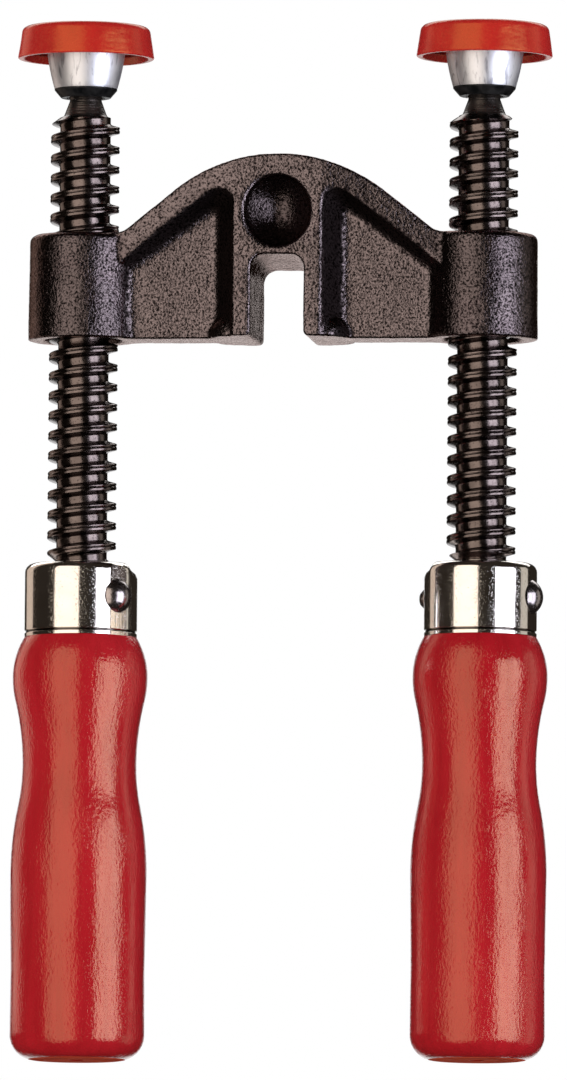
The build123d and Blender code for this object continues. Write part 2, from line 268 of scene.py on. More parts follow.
def cast_iron():
    """Rough cast skin, burnished dark brown: a fine bumpy grain with painted shade in its hollows.
    """
    material, nodes, links, shader, place = new_material("cast_iron_skin")
    broad = noise_node(nodes, links, place, 160, 3)
    grain = noise_node(nodes, links, place, 2300, 2, distortion=0.3)
    lumps = noise_node(nodes, links, place, 620, 2)
    colour = ramp_node(nodes, links, broad, 0.3, (0.162, 0.135, 0.145), 0.7, (0.2, 0.166, 0.178))
    # painted shade: the colour is darkened in the hollows of the grain's bumps
    painted_pit_shade = ramp_node(nodes, links, grain, 0.36, (0.06, 0.055, 0.055), 0.55, (1, 1, 1))
    colour = multiply_node(nodes, links, colour, painted_pit_shade)
    # painted shade from the mesh's "shade" attribute darkens the casting's pockets, slot corners,
    # recesses and bosses
    colour, shade = shaded_colour(nodes, links, colour)
    links.new(colour, shader.inputs["Base Color"])
    rough = nodes.new("ShaderNodeMath")
    rough.operation = "ADD"
    links.new(range_node(nodes, links, grain, 0.26, 0.11), rough.inputs[0])
    links.new(range_node(nodes, links, shade, 0.0, 0.5, 0.6, 1.0), rough.inputs[1])
    links.new(rough.outputs[0], shader.inputs["Roughness"])
    shader.inputs["Specular Tint"].default_value = (1.0, 0.82, 0.77, 1)
    normal = bump_node(nodes, links, lumps, 0.36, 0.0003)
    normal = bump_node(nodes, links, grain, 0.5, 0.00029, normal)
    links.new(normal, shader.inputs["Normal"])
    shader.inputs["Metallic"].default_value = 1.0
    return material


def spindle_steel():
    """Burnished brown-black steel, glossy, with faint turning marks."""
    material, nodes, links, shader, place = new_material("burnished_steel")
    broad = noise_node(nodes, links, place, 240, 4)
    turned = noise_node(nodes, links, place, 260, 4, (1, 1, 26))
    fine = noise_node(nodes, links, place, 2600, 3)
    colour = ramp_node(nodes, links, broad, 0.3, (0.1, 0.082, 0.08), 0.7, (0.2, 0.165, 0.162))
    flecks = ramp_node(nodes, links, fine, 0.3, (0.3, 0.28, 0.28), 0.42, (1, 1, 1))
    links.new(multiply_node(nodes, links, colour, flecks), shader.inputs["Base Color"])
    links.new(range_node(nodes, links, broad, 0.12, 0.24), shader.inputs["Roughness"])
    normal = bump_node(nodes, links, turned, 0.2, 0.0001)
    links.new(bump_node(nodes, links, fine, 0.2, 0.00007, normal), shader.inputs["Normal"])
    shader.inputs["Metallic"].default_value = 1.0
    return material


def neck_steel():
    """The blackened neck, with turning lines round it."""
    material, nodes, links, shader, place = new_material("blackened_neck")
    broad = noise_node(nodes, links, place, 300, 4)
    turned = noise_node(nodes, links, place, 200, 3, (1, 1, 16))
    colour = ramp_node(nodes, links, broad, 0.3, (0.035, 0.031, 0.03), 0.7, (0.1, 0.086, 0.082))
    links.new(colour, shader.inputs["Base Color"])
    links.new(range_node(nodes, links, broad, 0.22, 0.36), shader.inputs["Roughness"])
    links.new(bump_node(nodes, links, turned, 0.7, 0.0002), shader.inputs["Normal"])
    shader.inputs["Metallic"].default_value = 0.9
    return material


def nickel():
    """Warm bright nickel plate with a fine drawn grain, specks and stains, and painted shade in its
    groove.
    """
    material, nodes, links, shader, place = new_material("nickel_plate")
    broad = noise_node(nodes, links, place, 190, 4)
    drawn = noise_node(nodes, links, place, 1500, 3, (1, 1, 0.12))
    specks = noise_node(nodes, links, place, 3300, 3)
    colour = ramp_node(nodes, links, broad, 0.3, (0.85, 0.81, 0.77), 0.7, (0.93, 0.9, 0.87))
    stains = ramp_node(nodes, links, specks, 0.25, (0.4, 0.35, 0.3), 0.33, (1, 1, 1))
    colour = multiply_node(nodes, links, colour, stains)
    # painted shade from the mesh's "shade" attribute darkens the groove
    colour, _ = shaded_colour(nodes, links, colour)
    links.new(colour, shader.inputs["Base Color"])
    links.new(range_node(nodes, links, broad, 0.08, 0.14), shader.inputs["Roughness"])
    pits = range_node(nodes, links, specks, 0.0, 1.0, 0.33, 0.4)
    normal = bump_node(nodes, links, drawn, 0.15, 0.00005)
    links.new(bump_node(nodes, links, pits, 0.2, 0.00004, normal), shader.inputs["Normal"])
    shader.inputs["Metallic"].default_value = 1.0
    return material


def rivet_steel():
    """Polished grey steel with faint marks."""
    material, nodes, links, shader, place = new_material("polished_rivet_steel")
    broad = noise_node(nodes, links, place, 500, 4)
    fine = noise_node(nodes, links, place, 2600, 3)
    colour = ramp_node(nodes, links, broad, 0.3, (0.3, 0.27, 0.28), 0.7, (0.48, 0.44, 0.45))
    links.new(colour, shader.inputs["Base Color"])
    links.new(range_node(nodes, links, fine, 0.14, 0.3), shader.inputs["Roughness"])
    links.new(bump_node(nodes, links, fine, 0.15, 0.00004), shader.inputs["Normal"])
    shader.inputs["Metallic"].default_value = 1.0
    return material


def red_wood():
    """Deep red lacquer over turned wood: faint grain below, an uneven glossy coat above."""
    material, nodes, links, shader, place = new_material("red_lacquered_wood")
    grain = noise_node(nodes, links, place, 420, 6, (1, 1, 0.06), 0.6)
    broad = noise_node(nodes, links, place, 60, 3, (1, 1, 0.5))
    ripple = noise_node(nodes, links, place, 260, 3, (1, 1, 0.25))
    orange_peel = noise_node(nodes, links, place, 1900, 3, (1, 1, 0.5))
    patches = noise_node(nodes, links, place, 190, 2, (1, 1, 0.5))
    specks = noise_node(nodes, links, place, 2500, 2)
    colour = ramp_node(
        nodes, links, broad, 0.3, (0.305, 0.0068, 0.0125), 0.7, (0.365, 0.0115, 0.0185))
    veins = ramp_node(nodes, links, grain, 0.3, (0.86, 0.82, 0.82), 0.6, (1, 1, 1))
    links.new(multiply_node(nodes, links, colour, veins), shader.inputs["Base Color"])
    links.new(range_node(nodes, links, ripple, 0.07, 0.13), shader.inputs["Roughness"])
    normal = bump_node(nodes, links, ripple, 0.3, 0.00015)
    peel_strength = range_node(nodes, links, patches, 0.35, 1.0, 0.4, 0.6)
    normal = bump_node(nodes, links, orange_peel, peel_strength, 0.00014, normal)
    pits = range_node(nodes, links, specks, 0.0, 1.0, 0.33, 0.43)
    normal = bump_node(nodes, links, pits, 0.28, 0.00004, normal)
    links.new(normal, shader.inputs["Normal"])
    shader.inputs["Specular IOR Level"].default_value = 0.5
    shader.inputs["Specular Tint"].default_value = (1.0, 0.55, 0.0, 1)
    shader.inputs["Coat Weight"].default_value = 0.95
    shader.inputs["Coat Roughness"].default_value = 0.06
    links.new(normal, shader.inputs["Coat Normal"])
    return material


def wood_foot():
    """The handle's flat foot: the same red, rubbed dull and orange, over end grain."""
    material, nodes, links, shader, place = new_material("rubbed_handle_foot")
    broad = noise_node(nodes, links, place, 170, 4)
    grain = noise_node(nodes, links, place, 1500, 4)
    colour = ramp_node(nodes, links, broad, 0.3, (0.5, 0.075, 0.035), 0.7, (0.66, 0.13, 0.055))
    links.new(colour, shader.inputs["Base Color"])
    links.new(range_node(nodes, links, grain, 0.75, 0.9), shader.inputs["Roughness"])
    links.new(bump_node(nodes, links, grain, 0.5, 0.0001), shader.inputs["Normal"])
    shader.inputs["Specular IOR Level"].default_value = 0.1
    return material


def zinc_steel():
    """Satin zinc-plated steel of the pressure plates, with handling marks."""
    material, nodes, links, shader, place = new_material("zinc_plated_steel")
    broad = noise_node(nodes, links, place, 260, 4)
    marks = noise_node(nodes, links, place, 700, 5, (1, 1, 0.25), 1.0)
    colour = ramp_node(nodes, links, broad, 0.3, (0.8, 0.83, 0.91), 0.7, (0.9, 0.93, 1.0))
    stains = ramp_node(nodes, links, marks, 0.32, (0.5, 0.5, 0.53), 0.45, (1, 1, 1))
    links.new(multiply_node(nodes, links, colour, stains), shader.inputs["Base Color"])
    links.new(range_node(nodes, links, broad, 0.4, 0.5), shader.inputs["Roughness"])
    links.new(bump_node(nodes, links, marks, 0.2, 0.00008), shader.inputs["Normal"])
    shader.inputs["Metallic"].default_value = 0.95
    return material


def black_steel():
    """Blackened, crimped steel of the hub's lip, whose near-black colour is partly a painted dark
    reflection.
    """
    material, nodes, links, shader, place = new_material("blackened_crimp_with_painted_reflection")
    broad = noise_node(nodes, links, place, 600, 4)
    colour = ramp_node(nodes, links, broad, 0.35, (0.006, 0.007, 0.008), 0.7, (0.032, 0.032, 0.034))
    links.new(colour, shader.inputs["Base Color"])
    links.new(range_node(nodes, links, broad, 0.3, 0.5), shader.inputs["Roughness"])
    links.new(bump_node(nodes, links, broad, 0.3, 0.0001), shader.inputs["Normal"])
    shader.inputs["Metallic"].default_value = 0.6
    shader.inputs["Specular IOR Level"].default_value = 0.2
    return material


def red_plastic():
    """Moulded semi-gloss plastic with a faintly mottled skin."""
    material, nodes, links, shader, place = new_material("red_moulded_plastic")
    broad = noise_node(nodes, links, place, 150, 3)
    skin = noise_node(nodes, links, place, 1400, 4)
    flow = noise_node(nodes, links, place, 300, 3, (1, 1, 2.5))
    colour = ramp_node(nodes, links, broad, 0.3, (0.34, 0.009, 0.011), 0.7, (0.42, 0.016, 0.014))
    links.new(colour, shader.inputs["Base Color"])
    links.new(range_node(nodes, links, skin, 0.2, 0.32), shader.inputs["Roughness"])
    normal = bump_node(nodes, links, flow, 0.25, 0.0003)
    links.new(bump_node(nodes, links, skin, 0.2, 0.00006, normal), shader.inputs["Normal"])
    shader.inputs["Specular IOR Level"].default_value = 0.8
    shader.inputs["Specular Tint"].default_value = (1.0, 0.68, 0.2, 1)
    shader.inputs["Subsurface Weight"].default_value = 0.04
    shader.inputs["Subsurface Radius"].default_value = (0.0015, 0.0004, 0.0002)
    return material


CAST = cast_iron()
SPINDLE = spindle_steel()
NECK = neck_steel()
NICKEL = nickel()
RIVET = rivet_steel()
WOOD = red_wood()
FOOT = wood_foot()
ZINC = zinc_steel()
CRIMP = black_steel()
PLASTIC = red_plastic()


def place_piece(obj, material, body, node):
    """Gives a finished piece its material and body, and hides the node it stands for."""
    obj.data.materials.clear()
    obj.data.materials.append(material)
    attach(obj, body)
    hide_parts(node)
    return obj


def add_shade(mesh, values):
    """Stores how dark the painted shade makes each point of the mesh, from 0 to 1, for the
    material.
    """
    mesh.attributes.new("shade", "FLOAT", "POINT").data.foreach_set("value", values)


# ---------------------------------------------------------------- the cast yoke

POST_HALF_DEPTH = 11.0
RECESS_MIDDLE = 170.2
RECESS_HALF_WIDTH = 6.6
RECESS_HALF_HEIGHT = 7.1
DISH_DEPTH = 5.7
DISH_RIM = 1.1  # where the dish's plug ends, as a share of the recess's half size
DISH_SPREAD = 1.12  # where the dish would reach the post's face, as such a share
BORE_REACH = 8.3  # round each spindle, where the casting is machined and stays smooth
VOXEL = 0.00036  # metres
# The casting's unevenness: how wide each kind of bump is, its seed and its height
SKIN = ((7.0, (0, 0, 0), 0.07), (2.2, (9, 3, 5), 0.035), (0.75, (2, 7, 1), 0.03))
PAINTED_SHADE_ROUNDS = 36  # how often the painted shade spreads to the points next to it
# how much painted shade lies on the bosses
PAINTED_BOSS_SHADE = 0.36


def add_dish(shape, way):
    """Fills the recess in one face of the post with a plug that has a deep round dish in it."""
    steps = 20
    shares = [DISH_RIM * (1 - k / steps) for k in range(steps + 1)]
    outline = [(0, DISH_DEPTH + 0.9), (DISH_RIM, DISH_DEPTH + 0.9)]
    outline += [(share, DISH_DEPTH * (1 - (share / DISH_SPREAD)**2)) for share in shares]
    verts, faces = lathe(outline, 0, 64)
    corners = []
    for a, b, depth in verts:
        place = (
            a * RECESS_HALF_WIDTH,
            way * (POST_HALF_DEPTH - depth),
            RECESS_MIDDLE + b * RECESS_HALF_HEIGHT,
        )
        corners.append(shape.verts.new([c * MM for c in place]))
    for face in faces:
        shape.faces.new([corners[i] for i in (face if way > 0 else face[::-1])])


def painted_recess_shade(p):
    """How much painted shade darkens the recesses at point p (mm)."""
    reach = hypot(p.x / RECESS_HALF_WIDTH, (p.z - RECESS_MIDDLE) / RECESS_HALF_HEIGHT)
    depth = POST_HALF_DEPTH - 0.3 - abs(p.y)
    # painted shade, crisp, inside each recess's dish
    return 0.6 * smooth(depth, 0, 0.8) * smooth(1.04 - reach, 0, 0.08)


def painted_wall_shade(p, n):
    """How much painted shade darkens the slot's corners and the pockets' walls at p (mm) with
    normal n.
    """
    x = abs(p.x)
    in_slot = x < 7.5 and p.z < 163
    if in_slot:
        # painted shade on the slot's corners
        return 0.3 * smooth(1 - max(abs(c) for c in n), 0.05, 0.15)
    on_post_or_boss = x < 9.2 or x > 31.5
    faces_up = n.z > 0.35
    underside = p.z < 146.5 and n.z < -0.88
    if on_post_or_boss or faces_up or underside:
        return 0.0
    # painted shade on the pockets' walls
    return smooth(0.93 - abs(n.y), 0, 0.2) * (1.0 if x < 28.0 else 0.75)


def add_painted_shade(mesh):
    """Stores the casting's painted shade: spread and uneven on the walls, crisp in the recesses,
    and some on the bosses.
    """
    count = len(mesh.vertices)
    ends = numpy.empty(2 * len(mesh.edges), numpy.int32)
    mesh.edges.foreach_get("vertices", ends)
    a, b = ends[::2], ends[1::2]
    neighbours = numpy.bincount(ends, minlength=count)
    painted_shade = numpy.array([painted_wall_shade(v.co * 1000, v.normal) for v in mesh.vertices])
    for _ in range(PAINTED_SHADE_ROUNDS):
        around = numpy.bincount(a, painted_shade[b], count) + numpy.bincount(b, painted_shade[a], count)
        painted_shade = (painted_shade + around / neighbours) / 2
    values = []
    for vertex, wall in zip(mesh.vertices, painted_shade):
        p = vertex.co * 1000
        wall += noise.noise(p / 0.8) * 1.8 * wall * (1 - wall)
        # painted shade on the bosses, fading out towards the arch
        boss = PAINTED_BOSS_SHADE * smooth(abs(p.x), 29.5, 33.0)
        values.append(max(smooth(wall, 0.05, 0.6), painted_recess_shade(p), boss))
    add_shade(mesh, values)


def make_yoke():
    """The casting: the node's own shape with soft cast edges and a grainy skin."""
    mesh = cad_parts["yoke"].data.copy()
    shape = bmesh.new()
    shape.from_mesh(mesh)
    bmesh.ops.remove_doubles(shape, verts=shape.verts, dist=1e-6)
    add_dish(shape, -1)
    add_dish(shape, 1)
    shape.to_mesh(mesh)
    shape.free()
    work = link_object("yoke_work", mesh)
    remesh = work.modifiers.new("remesh", "REMESH")
    remesh.mode = "VOXEL"
    remesh.voxel_size = VOXEL
    softening = work.modifiers.new("smooth", "SMOOTH")
    softening.factor = 0.5
    softening.iterations = 5
    graph = bpy.context.evaluated_depsgraph_get()
    casting = bpy.data.meshes.new_from_object(work.evaluated_get(graph))
    bpy.data.objects.remove(work)
    casting.name = "yoke_casting"
    normals = [v.normal.copy() for v in casting.vertices]
    # painted shade for the pockets, slot corners, recesses and bosses
    add_painted_shade(casting)
    for vertex, normal in zip(casting.vertices, normals):
        p = vertex.co * 1000
        if min(hypot(p.x - x, p.y) for x in (-AXIS_X, AXIS_X)) < BORE_REACH:
            continue
        height = sum(noise.noise(p / size + Vector(seed)) * most for size, seed, most in SKIN)
        vertex.co += normal * height * MM
    obj = shaded_object("yoke_casting", casting, 180)
    place_piece(obj, CAST, "yoke", "yoke")


# ---------------------------------------------------------------- the spindles

THREAD_PITCH = 4.0
THREAD_CREST = 6.95
THREAD_ROOT = 5.1
THREAD_RUN_OUT = 1.35  # how steeply the thread rises from the root at its two ends
THREAD_SECTION = (  # height and radius over one pitch, with a shallow groove along the crest
    (-1.42, 5.1), (-1.26, 5.15), (-1.14, 5.3), (-1.04, 5.56), (-0.75, 6.66), (-0.66, 6.86),
    (-0.5, 6.95), (-0.16, 6.95), (-0.04, 6.91), (0.04, 6.85), (0.12, 6.82), (0.2, 6.85),
    (0.28, 6.91), (0.4, 6.95), (0.54, 6.94), (0.67, 6.86), (0.75, 6.66), (1.04, 5.56),
    (1.14, 5.3), (1.26, 5.15), (1.42, 5.1), (2.0, 5.1),
)


def thread_limit(z):
    """How far out the thread may reach near its two ends, where it runs out."""
    low = THREAD_ROOT + (z - THREAD_START) * THREAD_RUN_OUT
    high = THREAD_ROOT + (THREAD_END - z) * THREAD_RUN_OUT
    return max(THREAD_ROOT, min(THREAD_CREST, low, high))


def thread_band(x, crest_z, segments=96):
    """Points and faces of the thread: one helical band with a crest at crest_z on its +X side."""
    first = THREAD_START - (THREAD_START - crest_z) % THREAD_PITCH - 2 * THREAD_PITCH
    turns = int((THREAD_END - THREAD_START) / THREAD_PITCH) + 5
    rows = []
    for turn in range(turns):
        for offset, radius in THREAD_SECTION:
            rows.append((first + turn * THREAD_PITCH + offset, radius))
    verts, faces = [], []
    for start, radius in rows:
        for k in range(segments + 1):
            angle = 2 * pi * k / segments
            z = max(THREAD_START, min(THREAD_END, start + THREAD_PITCH * k / segments))
            r = min(radius, thread_limit(z))
            verts.append((x + r * cos(angle), r * sin(angle), z))
    wide = segments + 1
    for i in range(len(rows) - 1):
        for a in range(i * wide, i * wide + segments):
            faces.append((a, a + 1, a + 1 + wide, a + wide))
    return verts, faces


def core_outline():
    """The half section of the spindle's tang, core, neck and ball."""
    core = THREAD_ROOT - 0.02
    line = rounded([
        (0, 49.8), (2.0, 49.8), (4.4, 55.8, 0.4), (4.4, THREAD_START), (core, THREAD_START),
    ])
    line += [(core, THREAD_END), (THREAD_ROOT, THREAD_END), (4.45, THREAD_END + 0.25)]
    line += [(4.25, THREAD_END + 0.6), (3.25, NECK_TOP - 0.3), (NECK_RADIUS, NECK_TOP)]
    start = atan2(NECK_TOP - BALL_HEIGHT, NECK_RADIUS)
    steps = 16
    for k in range(1, steps):
        angle = start + (pi / 2 - start) * k / steps
        line.append((BALL_RADIUS * cos(angle), BALL_HEIGHT + BALL_RADIUS * sin(angle)))
    line.append((0, BALL_HEIGHT + BALL_RADIUS))
    return spaced(line, 3.0)


def make_spindle(side, x, crest_z):
    """The spindle: its thread, and the tang, neck and ball as one turned piece."""
    thread = mesh_object(f"thread_{side}", *thread_band(x, crest_z), 40)
    shape = bmesh.new()
    shape.from_mesh(thread.data)
    bmesh.ops.remove_doubles(shape, verts=shape.verts, dist=2e-6)
    bmesh.ops.dissolve_degenerate(shape, dist=1e-6, edges=shape.edges)
    shape.to_mesh(thread.data)
    shape.free()
    thread.data.set_sharp_from_angle(angle=radians(40))
    core = mesh_object(f"spindle_core_{side}", *lathe(core_outline(), x, 64), 40)
    place_piece(thread, SPINDLE, f"spindle_{side}", f"spindle_{side}")
    place_piece(core, NECK, f"spindle_{side}", f"spindle_{side}")


# ---------------------------------------------------------------- handles, ferrules and rivets

# Where and how far the ferrule's top edge is pressed in, beside the rivet
PRESS_AZIMUTH = {"left": 97, "right": -85}
PRESS_HALF_WIDTH = 38
PRESS_IN = 2.6
PRESS_DOWN = 2.3

FLAT_DISTANCE = 11.1  # from the axis to the ferrule's flats, under the rivet's ends
RIVET_SEAT = 11.15
DOME_RADIUS = 3.4
DOME_HEIGHT = 1.95


def handle_outline():
    """The handle's half section from the foot up, round the tenon and down into the tang's bore."""
    grip, waist, bulge = Vector((13.7, 37.5)), Vector((11.45, 59.5)), Vector((13.55, 77.0))
    lower_turn = waist + (grip - waist) * 0.38
    upper_turn = bulge + (waist - bulge) * 0.28
    foot = [(0, 0.9), (0.6, 0.7), (1.5, 0.0, 0.1), (13.55, 0.0, 5.0), (13.55, 5.0)]
    line = rounded(foot, 10) + [(13.45, 18.0), tuple(grip)]
    for start, turn, end in ((grip, lower_turn, waist), (waist, upper_turn, bulge)):
        arc, heading = tangent_arc(start, turn, pi / 2)
        line += arc
        line += tangent_arc(turn, end, heading)[0]
    line += tangent_arc(bulge, (FERRULE_RADIUS, HANDLE_TOP), pi / 2)[0]
    line += [(TENON_RADIUS, HANDLE_TOP), (TENON_RADIUS, TENON_TOP), (TANG_BORE_RADIUS, TENON_TOP)]
    line += [(TANG_BORE_RADIUS, TANG_BORE_FOOT), (0, TANG_BORE_FOOT)]
    return spaced(line, 1.0)


def pressed(point, x, side, radius, top):
    """The point, moved in and down where the ferrule's top edge is pressed in beside the rivet."""
    away = Vector((point[0] - x, point[1], 0))
    if away.length < radius - PRESS_IN or point[2] < top - PRESS_DOWN:
        return point
    off = (atan2(away.x, -away.y) - radians(PRESS_AZIMUTH[side])) % (2 * pi)
    off = min(off, 2 * pi - off) / radians(PRESS_HALF_WIDTH)
    if off >= 1:
        return point
    share = smooth((1 - off) * 2.2, 0, 1)
    over = (away.length - radius) / PRESS_IN + (point[2] - top) / PRESS_DOWN + share
    if over <= 0:
        return point
    away *= 1 - over / 2 * PRESS_IN / away.length
    return x + away.x, away.y, point[2] - over / 2 * PRESS_DOWN


def make_handle(side, x, seed):
    """The turned handle, slightly uneven outside, with its rubbed foot."""
    verts, faces = lathe(handle_outline(), x)
    below = HANDLE_TOP - 0.5
    outer = [i for i, v in enumerate(verts) if v[2] < below and hypot(v[0] - x, v[1]) > 8]
    for i, moved in zip(outer, shifted([verts[i] for i in outer], x, 7.0, 0.05, seed)):
        verts[i] = moved
    verts = [pressed(v, x, side, TENON_RADIUS, TENON_TOP) for v in verts]
    obj = mesh_object(f"handle_shell_{side}", verts, faces, 40)
    place_piece(obj, WOOD, f"spindle_{side}", f"handle_{side}")
    obj.data.materials.append(FOOT)
    for face in obj.data.polygons:
        if face.center.z < 0.15 * MM:
            face.material_index = 1


def pin_direction(side):
    azimuth = radians(PIN_AZIMUTH[side])
    return Vector((sin(azimuth), -cos(azimuth), 0))


def make_ferrule(side, x):
    """The drawn cup with a groove near its foot and a flat under each end of the rivet."""
    r, inner_radius, inner_top = FERRULE_RADIUS, TENON_RADIUS + 0.08, 98.92
    outline = rounded([
        (inner_radius, 85.02), (r - 0.06, 85.02), (r, 85.1), (r, 85.74, 0.1), (r - 0.32, 85.96),
        (r - 0.32, 86.1), (r, 86.34, 0.1), (r, FERRULE_TOP, 1.7), (5.25, FERRULE_TOP, 0.15),
        (5.25, FERRULE_TOP + 0.5, 0.12), (4.5, FERRULE_TOP + 0.5), (4.5, inner_top),
        (inner_radius, inner_top, 0.9),
    ])
    verts, faces = lathe(spaced(outline, 1.2), x, 192, closed=True)
    away = pin_direction(side)
    for i, v in enumerate(verts):
        here = Vector((v[0] - x, v[1], 0))
        if here.length > 10.8:
            for way in (away, -away):
                reach = here.dot(way)
                if reach > FLAT_DISTANCE:
                    here -= way * (reach - FLAT_DISTANCE)
            verts[i] = (x + here.x, here.y, v[2])
        inside = here.length < 10.7 and v[2] < 99
        edge = (10.6, inner_top) if inside else (r, FERRULE_TOP)
        verts[i] = pressed(verts[i], x, side, *edge)
    obj = mesh_object(f"ferrule_shell_{side}", verts, faces, 30)
    points = [v.co * 1000 for v in obj.data.vertices]
    # painted shade in the groove near the foot
    groove = [85.8 < p.z < 86.3 and hypot(p.x - x, p.y) < r - 0.12 for p in points]
    add_shade(obj.data, [float(dark) for dark in groove])
    place_piece(obj, NICKEL, f"spindle_{side}", f"ferrule_{side}")


def make_rivet(side, x):
    """The cross rivet: a domed head in front and a peened end behind."""
    seat = RIVET_SEAT
    radius = (DOME_RADIUS**2 + DOME_HEIGHT**2) / (2 * DOME_HEIGHT)
    steps = 10
    dome = []
    for k in range(steps):
        angle = acos(1 - DOME_HEIGHT / radius) * (1 - k / steps)
        height = seat + DOME_HEIGHT - radius + radius * cos(angle)
        dome.append((radius * sin(angle), height))
    dome.append((0, seat + DOME_HEIGHT))
    shank = rounded([
        (0, -seat - 1.45), (1.25, -seat - 1.45, 0.4), (2.7, -seat, 0.1), (2.0, -seat), (2.0, seat),
        (DOME_RADIUS - 0.05, seat),
    ])
    verts, faces = lathe(shank + dome, 0, 64)
    turn = Vector((0, 0, 1)).rotation_difference(pin_direction(side)).to_matrix()
    verts = [tuple(turn @ Vector(v) + Vector((x, 0, PIN_HEIGHT))) for v in verts]
    obj = mesh_object(f"rivet_{side}", verts, faces)
    place_piece(obj, RIVET, f"spindle_{side}", f"handle_pin_{side}")


# ---------------------------------------------------------------- pressure plates and caps

HUB_CREASE = HUB_BASE + 1.8
HUB_LOW_RADIUS = 6.3
HUB_MIDDLE_RADIUS = 7.3
HUB_TOP_RADIUS = 7.9


def hub_outline(steps=12):
    """The hub's slightly swollen side, from the crimped lip up to the plate."""
    swelling = HUB_MIDDLE_RADIUS - (HUB_LOW_RADIUS + HUB_TOP_RADIUS) / 2
    points = []
    for k in range(steps + 1):
        t = k / steps
        radius = HUB_LOW_RADIUS + (HUB_TOP_RADIUS - HUB_LOW_RADIUS) * t
        height = HUB_CREASE + (PLATE_BASE - HUB_CREASE) * t
        points.append((radius + swelling * 4 * t * (1 - t), height))
    return points


def socket_outline(steps=12):
    """The ball's socket, from its top down to the hub's mouth."""
    socket = BALL_RADIUS + 0.08
    start = atan2(-sqrt(socket**2 - HUB_MOUTH_RADIUS**2), HUB_MOUTH_RADIUS)
    points = [(0, BALL_HEIGHT + socket)]
    for k in range(1, steps + 1):
        angle = pi / 2 + (start - pi / 2) * k / steps
        points.append((socket * cos(angle), BALL_HEIGHT + socket * sin(angle)))
    return points + [(HUB_MOUTH_RADIUS, HUB_BASE)]


def make_plate(side, x):
    """The turned plate; its hub is crimped round the ball by a blackened lip, whose black is partly
    a painted dark reflection.
    """
    hub = hub_outline()
    lip = rounded([(HUB_MOUTH_RADIUS, HUB_BASE), (4.9, HUB_BASE, 0.3), hub[0]])
    rim = rounded([
        hub[-1], (PLATE_RADIUS, PLATE_BASE, 0.4), (PLATE_RADIUS, PLATE_TOP, 0.5), (0, PLATE_TOP),
    ])
    verts, faces = lathe(spaced(lip[:-1] + hub + rim[1:], 1.0), x)
    base = len(verts)
    more_verts, more_faces = lathe(socket_outline(), x)
    verts += more_verts
    faces += [[i + base for i in face] for face in more_faces]
    obj = mesh_object(f"plate_{side}", verts, faces, 32)
    place_piece(obj, ZINC, f"pad_{side}", f"pressure_plate_{side}")

    # the near-black lip ring: partly blackened steel, partly a painted dark reflection
    ring = rounded([
        (3.9, HUB_BASE - 0.02), (4.95, HUB_BASE - 0.02, 0.35), (6.3, HUB_BASE + 1.55, 0.2),
        (6.32, HUB_BASE + 1.95, 0.12), (5.6, HUB_BASE + 1.95), (4.6, HUB_BASE + 0.4),
        (3.9, HUB_BASE + 0.4),
    ])
    verts, faces = lathe(ring, x, 96, closed=True)
    obj = mesh_object(f"crimped_lip_{side}", verts, faces, 32)
    place_piece(obj, CRIMP, f"pad_{side}", f"pressure_plate_{side}")


def make_cap(side, x, seed):
    """The snap-on cap, slightly uneven as mouldings are."""
    bore = PLATE_RADIUS + 0.05
    outline = rounded([
        (0, PLATE_TOP + 0.05), (bore, PLATE_TOP + 0.05), (bore, PLATE_BASE - 0.05),
        (11.55, PLATE_BASE - 0.6, 0.2), (12.6, CAP_RIM, 0.5), (13.75, CAP_RIM, 0.35),
        (12.8, CAP_TOP, 1.4), (0, CAP_TOP),
    ], 8)
    verts, faces = lathe(spaced(outline, 0.8), x)
    moved = []
    for v in verts:
        bump = noise.noise(Vector((v[0] / 6 + seed, v[1] / 6, v[2] / 4))) * 0.06
        away = Vector((v[0] - x, v[1], 0))
        if away.length > 12.3:
            away *= 1 + bump / away.length
        lift = bump * 0.5 if v[2] > CAP_TOP - 0.1 else 0
        moved.append((x + away.x, away.y, v[2] + lift))
    obj = mesh_object(f"cap_{side}", moved, faces, 32)
    place_piece(obj, PLASTIC, f"pad_{side}", f"pad_cap_{side}")


make_yoke()
for side, x, crest_z, seed in (("left", -AXIS_X, 183.5, 0.0), ("right", AXIS_X, 182.4, 31.0)):
    make_handle(side, x, seed)
    make_ferrule(side, x)
    make_rivet(side, x)
    make_spindle(side, x, crest_z)
    make_plate(side, x)
    make_cap(side, x, seed)


# ---------------------------------------------------------------- camera, stage and lights

CENTRE = Vector((0, 0, 0.1047))
CAMERA_AIM = Vector((0.0005, 0, 0.1047))
CAMERA_AZIMUTH = 7.0
CAMERA_ELEVATION = -5.02
CAMERA_ROLL = 0.5
CAMERA_DISTANCE = 4.0
FLOOR_SIZE = 6
FLOOR_DROP = 0.0001
CARDS_RADIUS = 4.2
OPENING_AZIMUTH = 187
OPENING_HALF_WIDTH = 13
OPENING_LOW = -20
OPENING_HIGH = 10
WORLD_STRENGTH = 0.42

# Name, azimuth, half width, lowest and highest elevation in degrees, radiance and colour
SOFT_BOXES = (
    ("soft_box_left", -23.5, 25.5, -45, 41, 1.5, (1.0, 0.87, 0.73)),
    ("soft_box_right_1", 48.5, 10.2, -32, 21, 3.6, (0.97, 0.98, 1.08)),
    ("soft_box_right_2", 71.0, 10.2, -32, 21, 3.6, (0.97, 0.98, 1.08)),
    ("strip_right", 108.5, 11.5, -30, 25, 0.55, (1.0, 0.93, 0.82)),
    ("soft_box_behind", 187, 40, 28, 60, 2.0, (1.0, 0.98, 0.95)),
)

scene = bpy.context.scene
scene.view_settings.view_transform = "Standard"


def direction(azimuth, elevation):
    """From the object towards this azimuth (0 in front, +90 at its right) and elevation."""
    a, e = radians(azimuth), radians(elevation)
    return Vector((sin(a) * cos(e), -cos(a) * cos(e), sin(e)))


